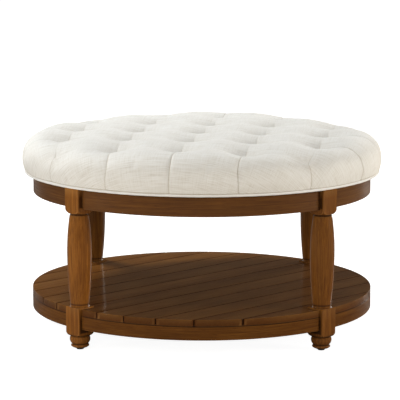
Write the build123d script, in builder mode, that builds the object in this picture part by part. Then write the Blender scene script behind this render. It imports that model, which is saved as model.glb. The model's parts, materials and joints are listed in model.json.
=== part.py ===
from build123d import *
import math
import os

# A round ottoman table. Four turned legs hold a curved apron and a round boarded shelf,
# and a tufted cushion on a plywood board is screwed down on the apron.
# The floor is Z = 0, the cushion's axis is Z and the front faces -Y. All lengths are millimetres.

# Plan, from the widest line of the cushion inwards
cushion_radius = 450.0
apron_inset = 28.0
shelf_inset = 24.0
block_proud = 11.0

# Legs, from the floor up
leg_width = 48.0
leg_edge_radius = 1.5
glide_height = 3.8
foot_ring_height = 10.7
foot_ring_radius = 21.5
foot_ring_draw = 2.4
foot_ball_height = 20.5
foot_ball_radius = 24.5
foot_neck_radius = 22.5
lower_shoulder_height = 9.0
lower_block_height = 61.0
collar_height = 6.0
collar_radius = 24.0
neck_radius = 22.3
lower_swell_height = 127.0
barrel_radius = 29.5
upper_swell_height = 89.0
barrel_top_radius = 22.7
groove_height = 3.5
groove_radius = 21.0
upper_shoulder_height = 15.5
upper_block_height = 48.0
shoulder_out_share = 0.78
shoulder_up_share = 0.38

# Glides
glide_radius = 9.0
glide_rim_height = 1.6
glide_flat_radius = 4.5
glide_pin_radius = 1.3
glide_pin_length = 13.0

# Apron
apron_height = 50.0
rail_thickness = 22.0
rail_ease = 1.4
tenon_thickness = 9.0
tenon_length = 18.0
tenon_shoulder = 6.0

# Shelf
shelf_drop = 2.6
plank_thickness = 16.4
plank_count = 12
end_plank_width = 62.5
plank_groove = 3.0
shelf_ease = 1.2
notch_gap = 0.5
shelf_rail_height = 33.0
bearer_width = 46.0
bearer_height = 22.0
bearer_inset = 256.0

# Braces behind the legs
brace_thickness = 34.0
brace_lift = 6.0
brace_half_width = 105.0
brace_corner = 9.0

# Seat board, foam, cover and welt
side_padding = 18.0
board_thickness = 15.0
padding_under_tufts = 10.5
foam_corner = 30.0
hem_thickness = 2.0
hem_width = 38.0
dust_cover_thickness = 1.0
cushion_height = 103.0
crown_inset = 130.0
crown_drop = 2.8
haunch_inset = 40.0
haunch_drop = 15.5
shoulder_inset = 9.0
shoulder_drop = 34.0
belly_drop = 57.0
foot_inset = 6.0
welt_diameter = 6.2

# Tufts, pillows and pleats
tuft_rows = 5
tuft_turn = -9.3
tuft_depth = 21.0
crease_depth = 9.0
corner_tuft_depth = 8.0
corner_tuft_inset = 8.8
pillow_rest = 0.6
rim_crest_run = 53.0
rim_swell = 2.0
pleat_depth = 6.0
pleat_half_width = 13.0
pleat_clearance = 4.0
pleat_foot_share = 0.45
tie_radius = 1.4

# Fasteners
bolt_radius = 4.0
bolt_bite = 28.0
bolt_tail = 13.0
nut_width = 13.0
nut_height = 6.5
washer_radius = 9.0
washer_thickness = 1.6
screw_shank_radius = 2.0
screw_head_radius = 4.2
screw_head_height = 2.8
screw_bite = 11.0
rail_screw_bite = 13.0
rail_screw_spread = 75.0
seat_screw_spread = 50.0
rim_screw_turn = 22.5

# Clearances
fit_gap = 0.1
soft_gap = 0.3
overrun = 20.0

# Angles in degrees, from +X towards +Y
quarter_turn = 90
leg_turn = 45
plank_turn = 45

# Levels that follow from the sizes above
foot_base = glide_height
ring_top = foot_base + foot_ring_height
ball_top = ring_top + foot_ball_height
lower_block_base = ball_top + lower_shoulder_height
lower_block_top = lower_block_base + lower_block_height
neck_level = lower_block_top + collar_height
barrel_level = neck_level + lower_swell_height
barrel_top = barrel_level + upper_swell_height
upper_shoulder_base = barrel_top + groove_height
upper_block_base = upper_shoulder_base + upper_shoulder_height
leg_top = upper_block_base + upper_block_height

apron_base = leg_top - apron_height
brace_height = apron_height - brace_lift
brace_base = leg_top - brace_height
joint_level = leg_top - apron_height / 2
shelf_top = lower_block_top - shelf_drop
plank_base = shelf_top - plank_thickness
shelf_rail_base = plank_base - shelf_rail_height
bearer_base = plank_base - bearer_height

board_base = leg_top + hem_thickness
board_top = board_base + board_thickness
cushion_top = leg_top + cushion_height
foam_height = cushion_top - tuft_depth - padding_under_tufts - board_top
cover_foot_level = leg_top + welt_diameter + soft_gap

# Distances from the axis that follow
apron_radius = cushion_radius - apron_inset
shelf_radius = cushion_radius - shelf_inset
leg_ring_radius = apron_radius + block_proud - leg_width / 2
leg_inner_reach = leg_ring_radius - leg_width / 2
block_corner_radius = leg_width / math.sqrt(2)
brace_back = leg_inner_reach - brace_thickness
crown_reach = cushion_radius - crown_inset
haunch_reach = cushion_radius - haunch_inset
shoulder_reach = cushion_radius - shoulder_inset
cover_foot_reach = cushion_radius - foot_inset
board_radius = cushion_radius - side_padding
hem_outer_reach = cover_foot_reach - welt_diameter
hem_inner_reach = hem_outer_reach - hem_width
plank_width = 2 * (shelf_radius - end_plank_width) / (plank_count - 2)
bearer_reach = shelf_radius - bearer_inset
corner_tuft_reach = cushion_radius - corner_tuft_inset
tuft_pitch = math.sqrt(2) * corner_tuft_reach / (tuft_rows - 1)

corner_names = ["back_right", "back_left", "front_left", "front_right"]
side_names = ["right", "back", "left", "front"]
leg_angles = {name: leg_turn + quarter_turn * index for index, name in enumerate(corner_names)}
side_angles = {name: quarter_turn * index for index, name in enumerate(side_names)}

os.makedirs("parts", exist_ok=True)


def save(part, name):
    """Label one finished piece and write its file."""
    part.label = name
    export_step(part, f"parts/{name}.step")


def outward(angle):
    """Unit vector away from the axis in a compass direction."""
    return Vector(math.cos(math.radians(angle)), math.sin(math.radians(angle)), 0)


def upright_plane(angle):
    """Upright plane through the axis: x runs outwards and y up."""
    return Plane(origin=(0, 0, 0), x_dir=outward(angle), z_dir=outward(angle).cross(Vector(0, 0, 1)))


def place(angle, reach, level, across=0):
    """Point at a height, given along and across a direction from the axis."""
    return outward(angle) * reach + outward(angle + quarter_turn) * across + Vector(0, 0, level)


def facing_out(angle, reach, level, across=0):
    """Plane square to a direction, looking away from the axis, with x up."""
    return Plane(origin=place(angle, reach, level, across), x_dir=(0, 0, 1), z_dir=outward(angle))


def facing_up(angle, reach, level, across=0):
    """Level plane whose x runs outwards along a direction."""
    return Plane(origin=place(angle, reach, level, across), x_dir=outward(angle), z_dir=(0, 0, 1))


def rail_middle(outer_radius):
    """Distance from the axis to the middle of a curved rail's end face."""
    half_block = leg_width / 2
    outer = math.sqrt(outer_radius**2 - half_block**2)
    inner = math.sqrt((outer_radius - rail_thickness) ** 2 - half_block**2)
    return (outer + inner) / 2


def joint_plane(angle, side, reach, level):
    """Side face of a leg block where a rail meets it, looking into the block."""
    tangent = outward(angle + quarter_turn) * side
    start = outward(angle) * reach + tangent * (leg_width / 2) + Vector(0, 0, level)
    return Plane(origin=start, x_dir=(0, 0, 1), z_dir=tangent * -1)


# The two kinds of rail joint: how far out, at what height and how tall the tenon is
apron_joint = (rail_middle(apron_radius), joint_level, apron_height - 2 * tenon_shoulder)
shelf_joint = (
    rail_middle(shelf_radius),
    shelf_rail_base + shelf_rail_height / 2,
    shelf_rail_height - 2 * tenon_shoulder,
)


from_base = (Align.CENTER, Align.CENTER, Align.MIN)


def screw_shape(length, gap=0.0, mode=Mode.ADD):
    """Countersunk screw, head face at the origin and shank along z; a gap makes its hole."""
    head = (screw_head_radius + gap, screw_shank_radius + gap, screw_head_height)
    Cone(*head, align=from_base, mode=mode)
    Cylinder(screw_shank_radius + gap, length + gap, align=from_base, mode=mode)


# Where the screws go: planes at their head faces
seat_screw_length = brace_height + hem_thickness + screw_bite
seat_screw_planes = [
    facing_up(angle, brace_back + brace_thickness / 2, brace_base, side * seat_screw_spread)
    for angle in leg_angles.values()
    for side in (-1, 1)
]
rail_inner_reach = apron_radius - rail_thickness
brace_run = math.sqrt(rail_inner_reach**2 - rail_screw_spread**2) - brace_back
brace_screw_length = brace_run + rail_screw_bite
brace_screw_planes = [
    facing_out(angle, brace_back, joint_level, side * rail_screw_spread)
    for angle in leg_angles.values()
    for side in (-1, 1)
]
rim_screw_length = shelf_rail_height + screw_bite
rim_screw_planes = [
    facing_up(angle + turn, shelf_radius - rail_thickness / 2, shelf_rail_base)
    for angle in side_angles.values()
    for turn in (-rim_screw_turn, rim_screw_turn)
]
bearer_screw_length = bearer_height + screw_bite
bearer_screw_rows = [row * plank_width / 2 for row in (-7, -1, 1, 7)]
bearer_screw_planes = [
    facing_up(plank_turn, side * bearer_reach, bearer_base, row)
    for side in (-1, 1)
    for row in bearer_screw_rows
]


# Turned and square parts of the leg, drawn once round the Z axis with +X facing outwards
def shoulder_point(near_radius, near_level, far_level):
    """Point that a turned shoulder passes on its way from the neck to the block's corner."""
    return (
        near_radius + (block_corner_radius - near_radius) * shoulder_out_share,
        near_level + (far_level - near_level) * shoulder_up_share,
    )


def block(neck, neck_level_here, corner_level, end_level):
    """Square block whose end towards the neck is turned to a shoulder."""
    low = min(neck_level_here, end_level)
    high = max(neck_level_here, end_level)
    with BuildPart() as blank:
        with BuildSketch(Plane.XY.offset(low)):
            RectangleRounded(leg_width, leg_width, leg_edge_radius)
        extrude(amount=high - low)
        with BuildSketch(Plane.XZ):
            with BuildLine():
                Polyline((0, end_level), (0, neck_level_here), (neck, neck_level_here))
                ThreePointArc(
                    (neck, neck_level_here),
                    shoulder_point(neck, neck_level_here, corner_level),
                    (block_corner_radius, corner_level),
                )
                Polyline((block_corner_radius, corner_level), (block_corner_radius, end_level), (0, end_level))
            make_face()
        revolve(axis=Axis.Z, mode=Mode.INTERSECT)
    return blank.part


ring_edge_radius = foot_ring_radius - foot_ring_draw

with BuildPart() as leg_blank:
    add(block(foot_neck_radius, ball_top, lower_block_base, lower_block_top))
    add(block(groove_radius, upper_shoulder_base, upper_block_base, leg_top))
    # Foot: a ring with a ball on it
    with BuildSketch(Plane.XZ):
        with BuildLine():
            Line((0, foot_base), (ring_edge_radius, foot_base))
            ThreePointArc(
                (ring_edge_radius, foot_base),
                (foot_ring_radius, (foot_base + ring_top) / 2),
                (ring_edge_radius, ring_top),
            )
            ThreePointArc(
                (ring_edge_radius, ring_top),
                (foot_ball_radius, (ring_top + ball_top) / 2),
                (foot_neck_radius, ball_top),
            )
            Polyline((foot_neck_radius, ball_top), (0, ball_top), (0, foot_base))
        make_face()
    revolve(axis=Axis.Z)
    # Collar, barrel and the groove under the upper block
    with BuildSketch(Plane.XZ):
        with BuildLine():
            Polyline((0, upper_shoulder_base), (0, lower_block_top), (collar_radius, lower_block_top))
            TangentArc((neck_radius, neck_level), (collar_radius, lower_block_top), tangent=(0, -1))
            TangentArc((barrel_radius, barrel_level), (neck_radius, neck_level), tangent=(0, -1))
            TangentArc((barrel_radius, barrel_level), (barrel_top_radius, barrel_top), tangent=(0, 1))
            Polyline(
                (barrel_top_radius, barrel_top),
                (groove_radius, barrel_top),
                (groove_radius, upper_shoulder_base),
                (0, upper_shoulder_base),
            )
        make_face()
    revolve(axis=Axis.Z)
    # Mortises for the rails' tenons, on both sides
    for reach, level, tenon_height in (apron_joint, shelf_joint):
        for side in (-1, 1):
            with BuildSketch(joint_plane(0, side, reach - leg_ring_radius, level)):
                Rectangle(tenon_height + 2 * fit_gap, tenon_thickness + 2 * fit_gap)
            extrude(amount=tenon_length + fit_gap, mode=Mode.SUBTRACT)
    # Hole for the hanger bolt, from the inner face
    with BuildSketch(facing_out(0, -leg_width / 2, joint_level)):
        Circle(bolt_radius + fit_gap)
    extrude(amount=bolt_bite + fit_gap, mode=Mode.SUBTRACT)
    # Hole for the glide's pin
    with BuildSketch(Plane.XY.offset(foot_base)):
        Circle(glide_pin_radius + fit_gap)
    extrude(amount=glide_pin_length + fit_gap, mode=Mode.SUBTRACT)

for corner, angle in leg_angles.items():
    with BuildPart(facing_up(angle, leg_ring_radius, 0)) as leg:
        add(leg_blank.part)
    save(leg.part, f"leg_{corner}")


# Glide: a low dome on a pin
for corner, angle in leg_angles.items():
    with BuildPart() as glide:
        plane = upright_plane(angle)
        with BuildSketch(plane):
            with BuildLine():
                Line((leg_ring_radius, 0), (leg_ring_radius + glide_flat_radius, 0))
                TangentArc(
                    (leg_ring_radius + glide_flat_radius, 0),
                    (leg_ring_radius + glide_radius, glide_rim_height),
                    tangent=(1, 0),
                )
                Polyline(
                    (leg_ring_radius + glide_radius, glide_rim_height),
                    (leg_ring_radius + glide_radius, glide_height),
                    (leg_ring_radius + glide_pin_radius, glide_height),
                    (leg_ring_radius + glide_pin_radius, glide_height + glide_pin_length),
                    (leg_ring_radius, glide_height + glide_pin_length),
                    (leg_ring_radius, 0),
                )
            make_face()
        revolve(axis=Axis(outward(angle) * leg_ring_radius, (0, 0, 1)))
    save(glide.part, f"glide_{corner}")


# Curved rails with a tenon at each end
def curved_rail(outer_radius, middle, base, height, joint):
    """Rail between two legs, its ends flat against their blocks."""
    far = outer_radius + overrun
    with BuildPart() as rail:
        with BuildSketch(Plane.XY.offset(base)):
            Circle(outer_radius)
            Circle(outer_radius - rail_thickness, mode=Mode.SUBTRACT)
            Rectangle(
                far, far, rotation=middle - leg_turn, align=(Align.MIN, Align.MIN), mode=Mode.INTERSECT
            )
            for turn in (-leg_turn, leg_turn):
                Rectangle(
                    far,
                    leg_width,
                    rotation=middle + turn,
                    align=(Align.MIN, Align.CENTER),
                    mode=Mode.SUBTRACT,
                )
        extrude(amount=height)
        lower_edges = rail.edges().filter_by(GeomType.CIRCLE).group_by(Axis.Z)[0]
        chamfer(lower_edges.group_by(SortBy.RADIUS)[-1], length=rail_ease)
        reach, level, tenon_height = joint
        for turn, side in ((-leg_turn, 1), (leg_turn, -1)):
            with BuildSketch(joint_plane(middle + turn, side, reach, level)):
                Rectangle(tenon_height, tenon_thickness)
            extrude(amount=tenon_length)
    return rail.part


for side_name, middle in side_angles.items():
    with BuildPart() as apron_rail:
        add(curved_rail(apron_radius, middle, apron_base, apron_height, apron_joint))
        with Locations(*brace_screw_planes):
            screw_shape(brace_screw_length, fit_gap, Mode.SUBTRACT)
    save(apron_rail.part, f"apron_rail_{side_name}")

    with BuildPart() as shelf_rail:
        add(curved_rail(shelf_radius, middle, shelf_rail_base, shelf_rail_height, shelf_joint))
        with Locations(*rim_screw_planes):
            screw_shape(rim_screw_length, fit_gap, Mode.SUBTRACT)
    save(shelf_rail.part, f"shelf_rail_{side_name}")


# Braces: each fills the corner between a leg block and the apron rails beside it
for corner, angle in leg_angles.items():
    with BuildPart() as brace:
        with BuildSketch(facing_up(angle, 0, brace_base)):
            Circle(rail_inner_reach - fit_gap)
            with Locations((brace_back, 0)):
                Rectangle(
                    rail_inner_reach,
                    2 * brace_half_width,
                    align=(Align.MIN, Align.CENTER),
                    mode=Mode.INTERSECT,
                )
            with Locations((leg_inner_reach, 0)):
                Rectangle(
                    leg_width,
                    leg_width + 2 * fit_gap,
                    align=(Align.MIN, Align.CENTER),
                    mode=Mode.SUBTRACT,
                )
        extrude(amount=brace_height)
        inward_run = Axis((0, 0, 0), outward(angle))
        chamfer(brace.edges().filter_by(Axis.Z).group_by(inward_run)[0], length=brace_corner)
        with BuildSketch(facing_out(angle, brace_back, joint_level)):
            Circle(bolt_radius + fit_gap)
        extrude(amount=brace_thickness, mode=Mode.SUBTRACT)
        with Locations(*seat_screw_planes):
            screw_shape(seat_screw_length, fit_gap, Mode.SUBTRACT)
        with Locations(*brace_screw_planes):
            screw_shape(brace_screw_length, fit_gap, Mode.SUBTRACT)
    save(brace.part, f"corner_brace_{corner}")


# Hanger bolts with their washers and nuts
bolt_length = bolt_tail + brace_thickness + bolt_bite
nut_reach = brace_back - washer_thickness - nut_height

with BuildPart() as hanger_bolts:
    for angle in leg_angles.values():
        with Locations(facing_out(angle, brace_back - bolt_tail, joint_level)):
            Cylinder(bolt_radius, bolt_length, align=from_base)
save(hanger_bolts.part, "hanger_bolts")

with BuildPart() as brace_washers:
    for angle in leg_angles.values():
        with BuildSketch(facing_out(angle, brace_back - washer_thickness, joint_level)):
            Circle(washer_radius)
            Circle(bolt_radius + fit_gap, mode=Mode.SUBTRACT)
        extrude(amount=washer_thickness)
save(brace_washers.part, "brace_washers")

with BuildPart() as brace_nuts:
    for angle in leg_angles.values():
        with BuildSketch(facing_out(angle, nut_reach, joint_level)):
            RegularPolygon(nut_width / 2, 6, major_radius=False)
            Circle(bolt_radius + fit_gap, mode=Mode.SUBTRACT)
        extrude(amount=nut_height)
save(brace_nuts.part, "brace_nuts")


# Screws
for name, planes, length in (
    ("seat_screws", seat_screw_planes, seat_screw_length),
    ("brace_screws", brace_screw_planes, brace_screw_length),
    ("rim_screws", rim_screw_planes, rim_screw_length),
    ("bearer_screws", bearer_screw_planes, bearer_screw_length),
):
    with BuildPart() as screws:
        with Locations(*planes):
            screw_shape(length)
    save(screws.part, name)


# Shelf boards: a bevelled section run across the shelf, then cut round and notched for the legs
plank_along = upright_plane(plank_turn + quarter_turn)
bevel = plank_groove / 2

with BuildPart() as shelf_disc:
    with BuildSketch(Plane.XZ):
        with BuildLine():
            Polyline(
                (0, plank_base),
                (shelf_radius, plank_base),
                (shelf_radius, shelf_top - shelf_ease),
                (shelf_radius - shelf_ease, shelf_top),
                (0, shelf_top),
                close=True,
            )
        make_face()
    revolve(axis=Axis.Z)
    with BuildSketch(Plane.XY.offset(plank_base)):
        for angle in leg_angles.values():
            with Locations(outward(angle) * leg_ring_radius):
                Rectangle(leg_width + 2 * notch_gap, leg_width + 2 * notch_gap, rotation=angle)
    extrude(amount=plank_thickness, mode=Mode.SUBTRACT)
    with Locations(*rim_screw_planes):
        screw_shape(rim_screw_length, fit_gap, Mode.SUBTRACT)
    with Locations(*bearer_screw_planes):
        screw_shape(bearer_screw_length, fit_gap, Mode.SUBTRACT)

joint_rows = [row * plank_width for row in range(1 - plank_count // 2, plank_count // 2)]
plank_edges = [-shelf_radius, *joint_rows, shelf_radius]

for index in range(plank_count):
    left = plank_edges[index]
    right = plank_edges[index + 1]
    with BuildPart() as plank:
        with BuildSketch(plank_along):
            with BuildLine():
                Polyline(
                    (left, plank_base),
                    (right, plank_base),
                    (right, shelf_top - bevel),
                    (right - bevel, shelf_top),
                    (left + bevel, shelf_top),
                    (left, shelf_top - bevel),
                    close=True,
                )
            make_face()
        extrude(amount=shelf_radius, both=True)
        add(shelf_disc.part, mode=Mode.INTERSECT)
    save(plank.part, f"shelf_plank_{index + 1:02d}")


# Bearers under the boards, across them
for number, side in ((1, -1), (2, 1)):
    with BuildPart() as bearer:
        with BuildSketch(facing_up(plank_turn, 0, bearer_base)):
            Circle(shelf_radius - rail_thickness - fit_gap)
            with Locations((side * bearer_reach, 0)):
                Rectangle(bearer_width, 2 * shelf_radius, mode=Mode.INTERSECT)
        extrude(amount=bearer_height)
        with Locations(*bearer_screw_planes):
            screw_shape(bearer_screw_length, fit_gap, Mode.SUBTRACT)
    save(bearer.part, f"shelf_bearer_{number}")


# Outline of the cushion, from the crown to the foot: x is the distance from the axis, y the height
with BuildLine() as cushion_outline:
    crown = TangentArc((0, cushion_top), (crown_reach, cushion_top - crown_drop), tangent=(1, 0))
    haunch = TangentArc(crown @ 1, (haunch_reach, cushion_top - haunch_drop), tangent=crown % 1)
    shoulder = TangentArc(haunch @ 1, (shoulder_reach, cushion_top - shoulder_drop), tangent=haunch % 1)
    belly = TangentArc(shoulder @ 1, (cushion_radius, cushion_top - belly_drop), tangent=shoulder % 1)
    side_arc = TangentArc(belly @ 1, (cover_foot_reach, cover_foot_level), tangent=(0, -1))


def crown_level(reach):
    """Height of the cushion's outline at a distance from the axis."""
    arc = shoulder
    if reach <= haunch_reach:
        arc = haunch
    if reach <= crown_reach:
        arc = crown
    return arc.arc_center.Y + math.sqrt(arc.radius**2 - (reach - arc.arc_center.X) ** 2)


def under(arc, depth):
    """End of an arc of the outline, moved into the cushion."""
    end = arc @ 1
    return end + (arc.arc_center - end).normalized() * depth


# Pillows: lines of tufts cross on a square grid, and each strip between two lines is a loft
tuft_last = tuft_rows // 2
tuft_edge = tuft_last * tuft_pitch
rim_crest = tuft_edge + rim_crest_run
pillow_outside = cushion_radius + overrun
rim_crest_level = crown_level(rim_crest)
grid_lines = [row * tuft_pitch for row in range(-tuft_last, tuft_last + 1)]

# Each station is a place along the grid and what lies there
stations = [(-pillow_outside, "outside"), (-rim_crest, "crest")]
for line in grid_lines:
    stations.append((line, "line"))
    stations.append((line + tuft_pitch / 2, "pillow"))
stations[-1] = (rim_crest, "crest")
stations.append((pillow_outside, "outside"))


def pillow_level(one, other):
    """Height of the tufted top where two stations cross; the rim stands clear of the outline."""
    kinds = (one[1], other[1])
    if "crest" in kinds or "outside" in kinds:
        swells = sum(kind in ("pillow", "crest") for kind in kinds)
        return rim_crest_level + rim_swell * swells
    surface = crown_level(math.hypot(one[0], other[0]))
    if kinds == ("pillow", "pillow"):
        return surface - pillow_rest
    if "pillow" in kinds:
        return surface - crease_depth
    if abs(one[0]) == tuft_edge and abs(other[0]) == tuft_edge:
        return surface - corner_tuft_depth
    return surface - tuft_depth


pillow_floor = leg_top - overrun

with BuildPart() as pillows:
    for first in range(0, len(stations) - 2, 2):
        for row in stations[first : first + 3]:
            with BuildSketch(upright_plane(tuft_turn).offset(-row[0])):
                with BuildLine():
                    tops = [(station[0], pillow_level(station, row)) for station in stations]
                    for start in range(0, len(tops) - 2, 2):
                        ThreePointArc(*tops[start : start + 3])
                    Polyline(
                        tops[-1],
                        (pillow_outside, pillow_floor),
                        (-pillow_outside, pillow_floor),
                        tops[0],
                    )
                make_face()
        loft()


# Pleats: a V-shaped fold from each outer tuft straight out over the shoulder to the foot
def pleat_cutter(angle, offset, start_reach, start_depth):
    """Wedge whose edge is the bottom of one pleat."""
    high = cushion_top + overrun
    with BuildPart() as wedge:
        for shift in (-pleat_half_width, 0, pleat_half_width):
            plane_offset = offset + shift

            def in_plane(point):
                return (math.sqrt(point.X**2 - plane_offset**2), point.Y)

            depth = pleat_depth
            foot_depth = pleat_depth * pleat_foot_share
            tuft_level = crown_level(math.hypot(start_reach, offset)) - start_depth
            if shift:
                depth = -pleat_clearance
                foot_depth = -pleat_clearance
                tuft_level = high - pleat_clearance
            foot = in_plane(under(side_arc, foot_depth))
            with BuildSketch(upright_plane(angle).offset(-plane_offset)):
                with BuildLine():
                    Line((start_reach, tuft_level), in_plane(under(haunch, depth)))
                    ThreePointArc(
                        in_plane(under(haunch, depth)),
                        in_plane(under(shoulder, depth)),
                        in_plane(under(belly, depth)),
                    )
                    Polyline(
                        in_plane(under(belly, depth)),
                        foot,
                        (foot[0], pillow_floor),
                        (pillow_outside, pillow_floor),
                        (pillow_outside, high),
                        (start_reach, high),
                        (start_reach, tuft_level),
                    )
                make_face()
        loft(ruled=True)
    return wedge.part


# The room inside the cover for the seat board and the foam
def padding(base, height, gap):
    """Round pad with a bevelled top edge."""
    with BuildPart() as pad:
        with BuildSketch(Plane.XY.offset(base)):
            Circle(board_radius + gap)
        extrude(amount=height)
        chamfer(pad.faces().sort_by(Axis.Z)[-1].edges(), length=foam_corner)
    return pad.part


with BuildPart() as cushion_cover:
    with BuildSketch(Plane.XZ):
        with BuildLine():
            add(cushion_outline.line)
            Polyline(
                (cover_foot_reach, cover_foot_level),
                (hem_outer_reach, cover_foot_level),
                (hem_outer_reach, leg_top),
                (0, leg_top),
                (0, cushion_top),
            )
        make_face()
    revolve(axis=Axis.Z)
    add(pillows.part, mode=Mode.INTERSECT)
    for quarter in range(4):
        angle = tuft_turn + quarter * quarter_turn
        for line in grid_lines[1:-1]:
            add(pleat_cutter(angle, line, tuft_edge, tuft_depth), mode=Mode.SUBTRACT)
        diagonal = angle + quarter_turn / 2
        add(pleat_cutter(diagonal, 0, corner_tuft_reach, corner_tuft_depth), mode=Mode.SUBTRACT)
    add(padding(board_base, board_thickness + foam_height + soft_gap, soft_gap), mode=Mode.SUBTRACT)
    with BuildSketch(Plane.XY.offset(leg_top)):
        Circle(hem_inner_reach)
    extrude(amount=hem_thickness, mode=Mode.SUBTRACT)
save(cushion_cover.part, "cushion_cover")


# Ties run from the tufts down through the foam and the board
tie_places = [
    (x, y) for x in grid_lines for y in grid_lines if math.hypot(x, y) < board_radius - foam_corner
]


def tie_runs(gap=0.0):
    """One thin six-sided run for each tie; a gap makes the holes that they pass through."""
    with BuildPart() as runs:
        with BuildSketch(facing_up(tuft_turn, 0, board_base)):
            with Locations(*tie_places):
                RegularPolygon(tie_radius + gap, 6)
        extrude(amount=board_thickness + foam_height)
    return runs.part


save(tie_runs(), "tuft_ties")

with BuildPart() as foam_pad:
    add(padding(board_top, foam_height, 0.0))
    add(tie_runs(fit_gap), mode=Mode.SUBTRACT)
save(foam_pad.part, "foam_pad")

with BuildPart() as seat_board:
    with BuildSketch(Plane.XY.offset(board_base)):
        Circle(board_radius)
    extrude(amount=board_thickness)
    add(tie_runs(fit_gap), mode=Mode.SUBTRACT)
    with Locations(*seat_screw_planes):
        screw_shape(seat_screw_length, fit_gap, Mode.SUBTRACT)
save(seat_board.part, "seat_board")

with BuildPart() as dust_cover:
    with BuildSketch(Plane.XY.offset(board_base - dust_cover_thickness)):
        Circle(hem_inner_reach - soft_gap)
    extrude(amount=dust_cover_thickness)
    with Locations(*seat_screw_planes):
        screw_shape(seat_screw_length, fit_gap, Mode.SUBTRACT)
save(dust_cover.part, "dust_cover")

with BuildPart() as welt_cord:
    with BuildSketch(Plane.XZ):
        with Locations((hem_outer_reach + soft_gap + welt_diameter / 2, leg_top + welt_diameter / 2)):
            Circle(welt_diameter / 2)
    revolve(axis=Axis.Z)
save(welt_cord.part, "welt_cord")
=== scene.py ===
import json
import math

import bmesh
import bpy
import numpy as np
from mathutils import Matrix, Vector


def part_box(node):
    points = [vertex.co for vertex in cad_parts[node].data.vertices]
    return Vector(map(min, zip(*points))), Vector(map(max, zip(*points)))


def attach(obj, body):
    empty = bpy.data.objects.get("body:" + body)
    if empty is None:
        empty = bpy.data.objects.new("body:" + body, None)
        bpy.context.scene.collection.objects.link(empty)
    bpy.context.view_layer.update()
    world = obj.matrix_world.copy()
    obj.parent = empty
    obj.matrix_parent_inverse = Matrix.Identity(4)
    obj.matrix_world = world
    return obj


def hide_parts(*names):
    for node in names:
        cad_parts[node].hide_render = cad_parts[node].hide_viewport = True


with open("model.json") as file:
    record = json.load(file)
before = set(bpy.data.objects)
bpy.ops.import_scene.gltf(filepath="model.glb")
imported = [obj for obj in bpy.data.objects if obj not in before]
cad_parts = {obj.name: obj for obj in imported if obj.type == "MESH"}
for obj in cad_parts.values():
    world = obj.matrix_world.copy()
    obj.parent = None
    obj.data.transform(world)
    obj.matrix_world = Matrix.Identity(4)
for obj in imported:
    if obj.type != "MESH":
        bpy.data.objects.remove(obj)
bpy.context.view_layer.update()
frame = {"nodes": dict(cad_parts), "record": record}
scene = bpy.context.scene
scene.view_settings.view_transform = "Standard"
mm = 0.001
fullTurn = 2 * math.pi
sharpAngle = math.radians(30)
cornerNames = ("front_right", "back_right", "back_left", "front_left")


# Meshes and attributes

def newMesh(name, verts, faces):
    mesh = bpy.data.meshes.new(name)
    mesh.from_pydata(np.reshape(verts, (-1, 3)).tolist(), [], faces)
    return mesh


def addObject(name, data):
    added = bpy.data.objects.new(name, data)
    scene.collection.objects.link(added)
    return added


def placePiece(name, mesh, material):
    mesh.materials.append(material)
    piece = addObject(name, mesh)
    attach(piece, "root")
    return piece


def newPiece(name, verts, faces, material):
    mesh = newMesh(name, verts, faces)
    mesh.validate()
    mesh.shade_smooth()
    return placePiece(name, mesh, material)


def paint(piece, name, values, domain="POINT"):
    # a row of numbers or an array of points
    values = np.asarray(values, np.float32)
    kind, field = ("FLOAT_VECTOR", "vector") if values.ndim > 1 else ("FLOAT", "value")
    layers = piece.data.attributes
    layer = layers.get(name) or layers.new(name, kind, domain)
    layer.data.foreach_set(field, values.ravel())


def painted(piece, name):
    values = np.empty(len(piece.data.vertices), np.float32)
    piece.data.attributes[name].data.foreach_get("value", values)
    return values


def middleOf(node):
    low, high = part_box(node)
    return (low + high) / 2


def tubeFaces(rings, columns, ends="open", flip=False):
    # the ends are open, joined or capped
    low = np.arange(rings * columns).reshape(rings, columns)
    high = np.roll(low, -1, axis=0)
    faces = np.stack([low, np.roll(low, -1, axis=1), np.roll(high, -1, axis=1), high], -1)
    faces = faces[:rings if ends == "joined" else -1].reshape(-1, 4).tolist()
    if ends == "capped":
        faces += [low[-1].tolist(), low[0, ::-1].tolist()]
    return [face[::-1] for face in faces] if flip else faces


def pointsOf(x, y, z):
    return np.stack(np.broadcast_arrays(x, y, z), -1)


def aroundAxis(reach, angle, level):
    # points at a distance from the axis, turned by an angle, at a height
    return pointsOf(reach * np.cos(angle), reach * np.sin(angle), level)


def bell(distance, width, power=2):
    return np.exp(-((np.abs(distance) / width) ** power))


def ramp(value, start, run):
    # 0 up to start, and 1 from start + run on
    return np.clip((value - start) / run, 0, 1)


def softMin(one, other, blend):
    # smaller of two arrays, rounded over a width of blend
    share = np.clip(0.5 + 0.5 * (other - one) / blend, 0, 1)
    return other * (1 - share) + one * share - blend * share * (1 - share)


def markEdges(piece):
    # edgeWear is 1 on sharp outer corners; the other mask is 1 in inner ones and paints shade into those
    # corners
    mesh = bmesh.new()
    mesh.from_mesh(piece.data)
    wear = np.zeros(len(mesh.verts))
    shadeMask = np.zeros(len(mesh.verts))
    for edge in mesh.edges:
        if len(edge.link_faces) != 2:
            continue
        angle = edge.calc_face_angle_signed(0)
        for vert in edge.verts:
            wear[vert.index] = max(wear[vert.index], angle)
            shadeMask[vert.index] = max(shadeMask[vert.index], -angle)
    mesh.free()
    paint(piece, "edgeWear", ramp(wear, 0, sharpAngle))
    paint(piece, "paintedShade", ramp(shadeMask, 0, sharpAngle))


# Nodes

def addNode(tree, kind, values=(), **settings):
    # each value is fixed, or the output to link
    node = tree.nodes.new("ShaderNode" + kind)
    for key, value in settings.items():
        setattr(node, key, value)
    for key, value in dict(values).items():
        if isinstance(value, bpy.types.NodeSocket):
            tree.links.new(value, node.inputs[key])
        else:
            node.inputs[key].default_value = value
    return node


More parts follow.
